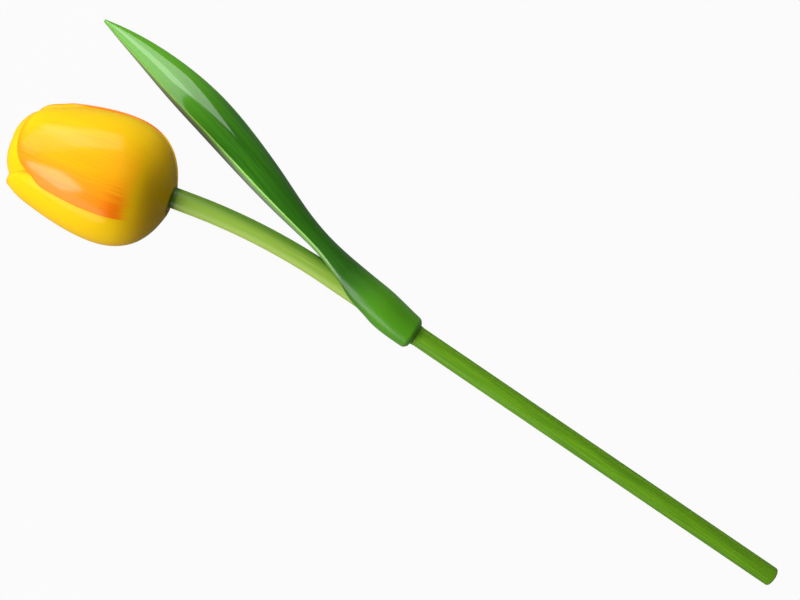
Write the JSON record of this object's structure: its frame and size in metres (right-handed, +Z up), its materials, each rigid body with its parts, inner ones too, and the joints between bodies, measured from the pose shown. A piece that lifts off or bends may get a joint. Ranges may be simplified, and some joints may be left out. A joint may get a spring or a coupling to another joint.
{
  "type": "wooden tulip",
  "caption": "Painted wooden tulip: a carved flower head pushed on a bent stick stem, with a long carved leaf whose sleeve slips over the stem.",
  "frame": {"origin": "on the table under the middle of the tulip as it lies: centre of the bounding box, at its base", "axes": "+Z up from the table; +X towards the foot of the stem, so the flower head points to -X; +Y towards the side that the leaf leans to"},
  "size_m": [0.3406, 0.0788, 0.0505],
  "materials": {
    "stem_green": "satin",
    "leaf_green": "gloss",
    "petal_yellow": "satin"
  },
  "bodies": {
    "stem": {"stem": "stem_green"},
    "leaf": {"leaf": "leaf_green"},
    "flower_head": {"flower_head": "petal_yellow"}
  },
  "joints": [
    {"name": "leaf_turn", "type": "hinge", "parent": "stem", "child": "leaf", "pos_m": [0.00006, 0.0027, 0.01885], "axis": [-0.9961, 0, 0.0882], "range_deg": [-138, 44]},
    {"name": "head_pull", "type": "slide", "parent": "stem", "child": "flower_head", "axis": [-0.9719, -0.2352, 0], "range_m": [0, 0.03]}
  ]
}
